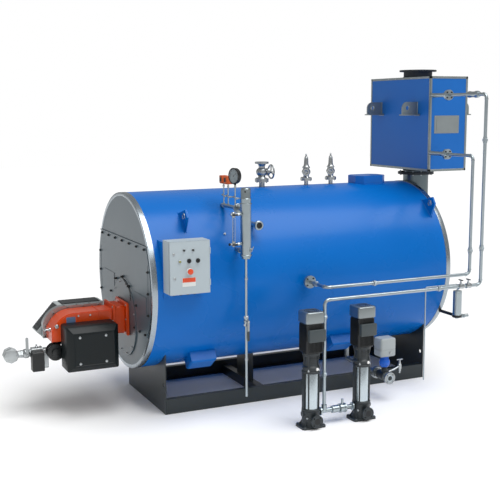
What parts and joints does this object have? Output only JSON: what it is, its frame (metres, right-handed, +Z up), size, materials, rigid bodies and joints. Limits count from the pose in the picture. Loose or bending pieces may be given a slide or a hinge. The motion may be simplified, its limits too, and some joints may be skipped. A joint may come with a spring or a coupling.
{
  "type": "packaged fire-tube steam boiler",
  "caption": "Horizontal drum boiler on a steel skid, with burner and gas train in front, box economiser over the rear, feed pumps, piping, level column, control panel and top valves.",
  "frame": {"origin": "on the floor, under the middle of the front saddle plate", "axes": "+X along the drum from the burner end to the flue end, +Y away from the operator side, +Z up"},
  "size_m": [5.261, 2.5458, 3.451],
  "materials": {
    "jacket_blue": "glossy coil-coated sheet",
    "economiser_blue": "satin painted sheet",
    "cover_grey": "smooth grey enamel",
    "skid_paint": "dark slate paint",
    "galvanised": "galvanised sheet and plate",
    "stainless": "brushed stainless steel",
    "pipe_steel": "pickled steel pipe",
    "valve_grey": "grey enamelled casting",
    "lever_steel": "plated steel",
    "handwheel_black": "black enamel",
    "burner_orange": "orange enamelled casting",
    "switch_orange": "moulded plastic",
    "cast_aluminium": "die-cast",
    "intake_grey": "light grey paint",
    "cabinet_black": "dark satin paint",
    "actuator_black": "moulded plastic",
    "panel_grey": "light grey powder coat",
    "pump_black": "black cataphoretic coat"
  },
  "bodies": {
    "boiler": {"drum_jacket": "jacket_blue", "lifting_lugs": "jacket_blue", "handhole_covers": "jacket_blue", "manhole_cover": "jacket_blue", "panel_bracket": "jacket_blue", "economiser_casing": "economiser_blue", "front_end_cover": "cover_grey", "rear_end_cover": "cover_grey", "smokebox_door": "cover_grey", "burner_plate": "cover_grey", "rear_smokebox": "cover_grey", "skid_rails": "skid_paint", "end_saddles": "skid_paint", "middle_saddle": "skid_paint", "economiser_frame": "galvanised", "economiser_lugs": "galvanised", "flue_duct": "stainless", "pump_1_sleeve": "stainless", "pump_2_sleeve": "stainless", "water_column": "stainless", "sample_cooler": "stainless", "gauge_glass": "stainless", "supply_pipe": "pipe_steel", "return_pipe": "pipe_steel", "drain_pipe": "pipe_steel", "instrument_manifold": "pipe_steel", "economiser_nozzles": "pipe_steel", "drum_nozzles": "pipe_steel", "steam_valve": "valve_grey", "safety_valves": "valve_grey", "blowdown_valve": "valve_grey", "flue_outlet": "handwheel_black", "burner_housing": "burner_orange", "pressure_switches": "switch_orange", "fan_housing": "cast_aluminium", "gas_train": "cast_aluminium", "air_intake": "intake_grey", "burner_cabinet": "cabinet_black", "fan_motor": "cabinet_black", "gas_actuator": "actuator_black", "pressure_gauge": "actuator_black", "control_panel": "panel_grey", "blowdown_actuator": "panel_grey", "pump_1_base": "pump_black", "pump_2_base": "pump_black", "pump_1_motor": "pump_black", "pump_2_motor": "pump_black"},
    "panel_door": {"panel_door": "panel_grey"},
    "steam_handwheel": {"steam_handwheel": "handwheel_black"},
    "drain_lever": {"drain_lever": "lever_steel"},
    "gas_cock_lever": {"gas_cock_lever": "lever_steel"}
  },
  "joints": [
    {"name": "panel_door_hinge", "type": "hinge", "parent": "boiler", "child": "panel_door", "pos_m": [0.284, -1.095, 1.562], "axis": [0, 0, 1], "range_deg": [0, 120]},
    {"name": "steam_handwheel_turn", "type": "hinge", "parent": "boiler", "child": "steam_handwheel", "pos_m": [1.462, 0, 2.346], "axis": [1, 0, 0], "range_deg": [0, 1530]},
    {"name": "drain_lever_turn", "type": "hinge", "parent": "boiler", "child": "drain_lever", "pos_m": [0.678, -1.095, 0.985], "axis": [0, 1, 0], "range_deg": [0, 90]},
    {"name": "gas_cock_turn", "type": "hinge", "parent": "boiler", "child": "gas_cock_lever", "pos_m": [-1.235, -0.019, 0.62], "axis": [0, -1, 0], "range_deg": [0, 90]}
  ]
}
